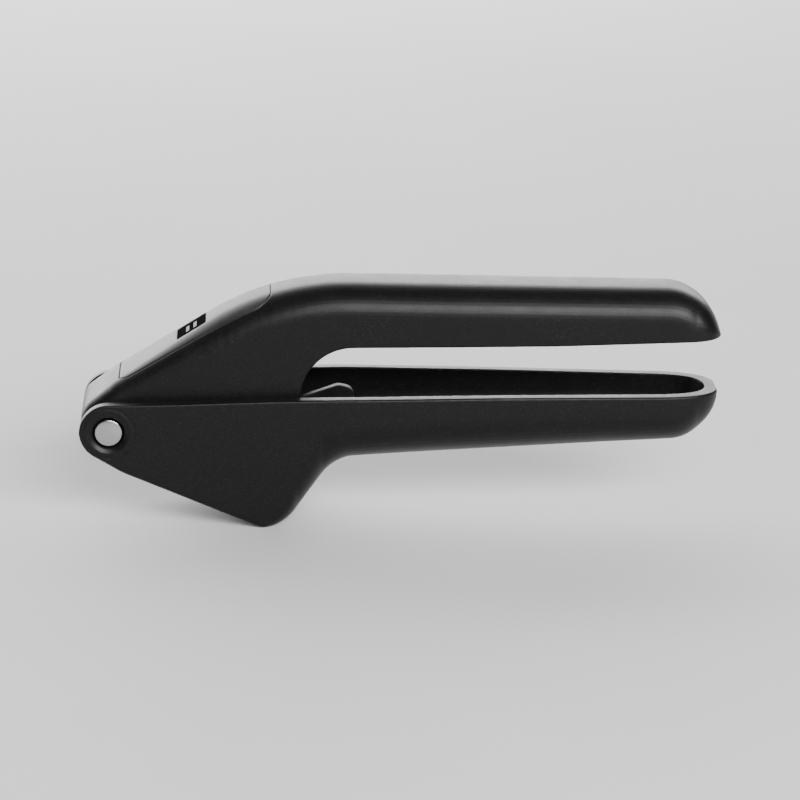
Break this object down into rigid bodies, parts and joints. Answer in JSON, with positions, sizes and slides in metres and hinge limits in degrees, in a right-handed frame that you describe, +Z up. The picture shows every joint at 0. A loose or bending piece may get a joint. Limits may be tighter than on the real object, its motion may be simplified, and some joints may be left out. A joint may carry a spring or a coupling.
{
  "type": "garlic press",
  "caption": "Hinged garlic press with two hollow handles, a wedge-shaped body, a swing-out perforated sieve basket and a studded plunger.",
  "frame": {"origin": "centre of the length and width, at the lowest point of the body, with the handles closed", "axes": "+X from the hinge along the handles to their ends, +Y across from the near side to the far side, +Z up from the lower handle to the upper handle"},
  "size_m": [0.1831, 0.0358, 0.07],
  "materials": {
    "coated_casting": "matte speckled black non-stick coating on die-cast aluminium",
    "brushed_steel": "brushed stainless steel",
    "black_plastic": "fine-textured matte black plastic",
    "badge": "satin dark grey, blank",
    "bearing_plastic": "natural acetal"
  },
  "bodies": {
    "lower_handle": {"lower_handle": "coated_casting", "pivot_barrel": "brushed_steel", "pivot_screw": "brushed_steel"},
    "sieve_basket": {"sieve_basket": "brushed_steel", "sieve_plate": "brushed_steel", "lift_tab": "black_plastic", "tab_rivet_near": "brushed_steel", "tab_rivet_far": "brushed_steel"},
    "upper_handle": {"upper_handle": "coated_casting", "hub_bush": "bearing_plastic", "top_inlay": "black_plastic", "badge_plate": "badge", "plunger_body": "coated_casting", "plunger_screw_front": "brushed_steel", "plunger_screw_rear": "brushed_steel", "plunger_foot": "brushed_steel", "foot_screw_front": "brushed_steel", "foot_screw_rear": "brushed_steel"}
  },
  "joints": [
    {"name": "basket_swing", "type": "hinge", "parent": "lower_handle", "child": "sieve_basket", "pos_m": [-0.0834, 0, 0.0283], "axis": [0, -1, 0], "range_deg": [0, 60]},
    {"name": "handle_hinge", "type": "hinge", "parent": "sieve_basket", "child": "upper_handle", "pos_m": [-0.0834, 0, 0.0283], "axis": [0, -1, 0], "range_deg": [0, 105]}
  ]
}
